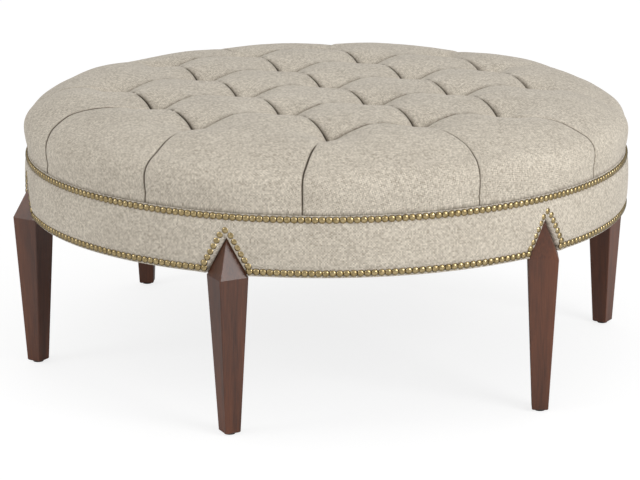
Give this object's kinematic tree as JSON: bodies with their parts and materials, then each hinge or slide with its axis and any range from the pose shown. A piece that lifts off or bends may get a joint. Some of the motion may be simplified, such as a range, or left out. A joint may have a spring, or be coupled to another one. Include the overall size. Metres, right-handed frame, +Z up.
{
  "type": "round tufted ottoman coffee table",
  "caption": "Round padded ottoman coffee table with a diamond-tufted seat, a nail-trimmed fabric apron and tapered square legs that end in pyramids.",
  "frame": {"origin": "on the floor, under the centre of the round seat", "axes": "+Z up; leg 1 stands towards -Y, and the legs are numbered anticlockwise seen from above"},
  "size_m": [1.0694, 1.1158, 0.4845],
  "materials": {
    "leg_wood": "satin espresso stain on walnut",
    "frame_wood": "bare sawn hardwood",
    "deck_plywood": "bare plywood",
    "seat_fabric": "heathered oatmeal twill",
    "band_fabric": "heathered oatmeal twill",
    "wadding": "soft white wadding",
    "foam": "open cell foam",
    "brass_nails": "antique brass, low gloss",
    "zinc_steel": "zinc plated",
    "glide_plastic": "matte nylon",
    "black_cambric": "black non-woven cambric",
    "tufting_twine": "waxed twine",
    "toggle_wood": "bare dowel wood"
  },
  "bodies": {
    "root": {"leg_1": "leg_wood", "leg_2": "leg_wood", "leg_3": "leg_wood", "leg_4": "leg_wood", "leg_5": "leg_wood", "leg_6": "leg_wood", "leg_block_1": "frame_wood", "leg_block_2": "frame_wood", "leg_block_3": "frame_wood", "leg_block_4": "frame_wood", "leg_block_5": "frame_wood", "leg_block_6": "frame_wood", "apron_rail_1": "frame_wood", "apron_rail_2": "frame_wood", "apron_rail_3": "frame_wood", "apron_rail_4": "frame_wood", "apron_rail_5": "frame_wood", "apron_rail_6": "frame_wood", "deck_brace_front": "frame_wood", "deck_brace_rear": "frame_wood", "deck_board": "deck_plywood", "seat_cover": "seat_fabric", "apron_band": "band_fabric", "apron_padding": "wadding", "foam_pad": "foam", "nails_top_row": "brass_nails", "nails_low_row": "brass_nails", "nails_leg_vees": "brass_nails", "hanger_bolts": "zinc_steel", "threaded_inserts": "zinc_steel", "leg_lock_screws": "zinc_steel", "brace_screws": "zinc_steel", "deck_screws": "zinc_steel", "dust_cover_staples": "zinc_steel", "foot_glides": "glide_plastic", "dust_cover": "black_cambric", "tuft_ties": "tufting_twine", "tie_toggles": "toggle_wood"}
  },
  "joints": []
}
